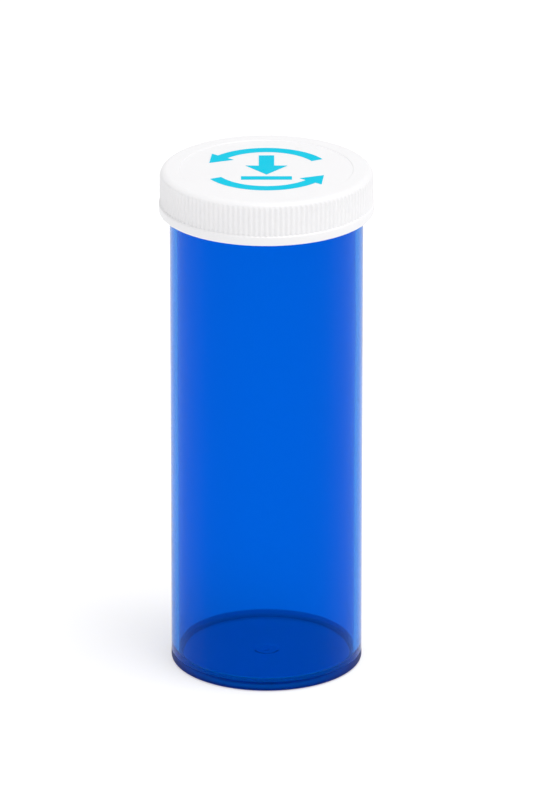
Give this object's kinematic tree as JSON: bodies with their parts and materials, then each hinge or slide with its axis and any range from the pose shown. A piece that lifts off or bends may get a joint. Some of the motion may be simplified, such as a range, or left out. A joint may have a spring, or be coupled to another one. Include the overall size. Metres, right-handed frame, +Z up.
{
  "type": "prescription vial",
  "caption": "Tall clear blue vial for tablets, with a white child-resistant cap that has to be pressed before it will unscrew.",
  "frame": {"origin": "centre of the foot, on the surface the vial stands on", "axes": "+Z up along the vial's axis, towards the cap; +X and +Y in the plane of the foot, with the printed straight arrow pointing along -Y"},
  "size_m": [0.056, 0.056, 0.137],
  "materials": {
    "blue_clear_plastic": "clear, tinted blue, smooth",
    "liner_foam": "soft foam, matte",
    "natural_plastic": "uncoloured polypropylene, satin",
    "spring_plastic": "uncoloured acetal, satin",
    "white_plastic": "white polypropylene, satin",
    "cyan_ink": "pad-printed ink, satin"
  },
  "bodies": {
    "vial": {"vial_body": "blue_clear_plastic"},
    "seal": {"sealing_liner": "liner_foam"},
    "inner_cap": {"inner_cap": "natural_plastic"},
    "spring": {"spring_disc": "spring_plastic"},
    "shell": {"outer_cap": "white_plastic", "printed_arrows": "cyan_ink"}
  },
  "joints": [
    {"name": "closure_rise", "type": "slide", "parent": "vial", "child": "seal", "axis": [0, 0, 1], "range_m": [0, 0.018]},
    {"name": "closure_turn", "type": "hinge", "parent": "seal", "child": "inner_cap", "pos_m": [0, 0, 0.133], "axis": [0, 0, 1], "range_deg": [0, 720]},
    {"name": "shell_spin", "type": "hinge", "parent": "inner_cap", "child": "spring", "pos_m": [0, 0, 0.134], "axis": [0, 0, 1], "continuous": true},
    {"name": "shell_press", "type": "slide", "parent": "spring", "child": "shell", "axis": [0, 0, 1], "range_m": [-0.00115, 0], "stiffness_N_per_m": 6000, "springref_m": 0.0006, "deforming": ["spring_disc"]}
  ],
  "couplings": [
    {"joint": "closure_rise", "follows": "closure_turn", "m_per_rad": 0.0014324}
  ]
}
